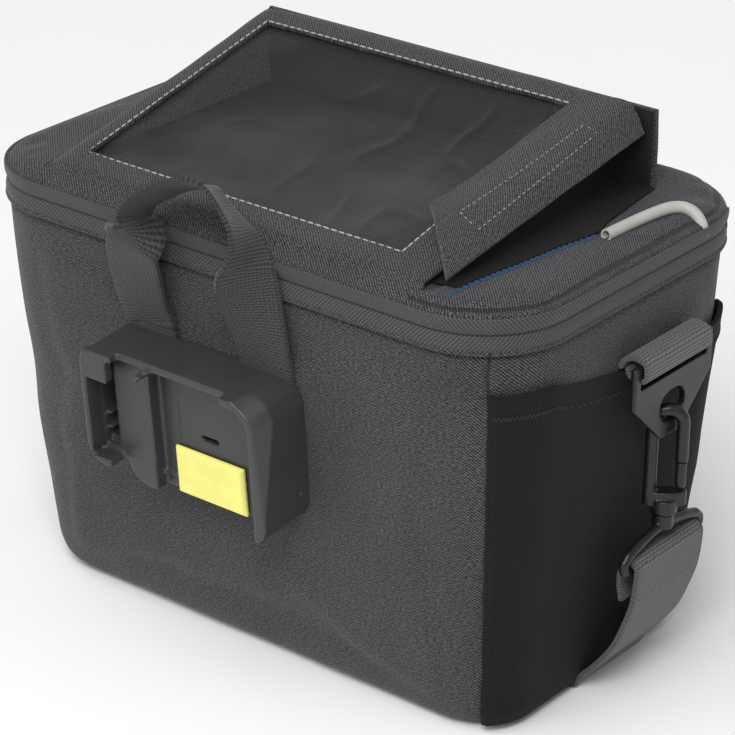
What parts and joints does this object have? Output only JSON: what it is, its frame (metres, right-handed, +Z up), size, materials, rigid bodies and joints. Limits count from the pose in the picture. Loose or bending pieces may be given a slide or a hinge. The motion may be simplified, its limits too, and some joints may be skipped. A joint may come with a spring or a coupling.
{
  "type": "bicycle handlebar bag",
  "caption": "Padded box bag for a handlebar, with zipped lid, sloping map pocket with clear window, hard adapter plate, carry handle, stretch end pockets and a shoulder strap on snap hooks.",
  "frame": {"origin": "under the middle of the whole bag, adapter plate and strap fittings included, on the surface that it stands on", "axes": "+Z up; -Y towards the rider, the side with the adapter plate; +X along the bag's width, towards the pocket's open end"},
  "size_m": [0.2882, 0.1918, 0.2147],
  "materials": {
    "graphite_fabric": "matte woven",
    "black_stretch": "matte stretch",
    "zip_tape": "fine woven tape",
    "dark_lining": "matte",
    "clear_film": "clear flexible film",
    "grey_webbing": "ribbed webbing",
    "graphite_plastic": "satin",
    "yellow_plastic": "satin",
    "black_hardware": "satin",
    "light_piping": "satin"
  },
  "bodies": {
    "bag": {"bag_body": "graphite_fabric", "zip_band": "zip_tape", "lid_hinge": "graphite_fabric", "lid": "graphite_fabric", "pocket_floor": "dark_lining", "pocket_frame": "graphite_fabric", "pocket_window": "clear_film", "pocket_far_wall": "graphite_fabric", "pocket_gusset": "graphite_fabric", "pocket_flap": "graphite_fabric", "piping_tube": "light_piping", "side_pocket_right": "black_stretch", "side_pocket_left": "black_stretch", "carry_handle": "grey_webbing", "adapter_plate": "graphite_plastic", "adapter_insert": "yellow_plastic", "strap_loop_right": "grey_webbing", "strap_loop_left": "grey_webbing", "strap_tab_right": "black_hardware", "strap_tab_left": "black_hardware", "snap_hook_right": "black_hardware", "snap_hook_left": "black_hardware", "strap_ring_right": "black_hardware", "strap_ring_left": "black_hardware", "shoulder_strap": "grey_webbing"},
    "gate": {"hook_gate_right": "black_hardware"}
  },
  "joints": [
    {"name": "hook_gate_right_hinge", "type": "hinge", "parent": "bag", "child": "gate", "pos_m": [0.14161, 0.02546, 0.08695], "axis": [0.6428, -0.766, 0], "range_deg": [0, 20], "stiffness_Nm_per_rad": 0.02, "springref_deg": -2.86}
  ]
}
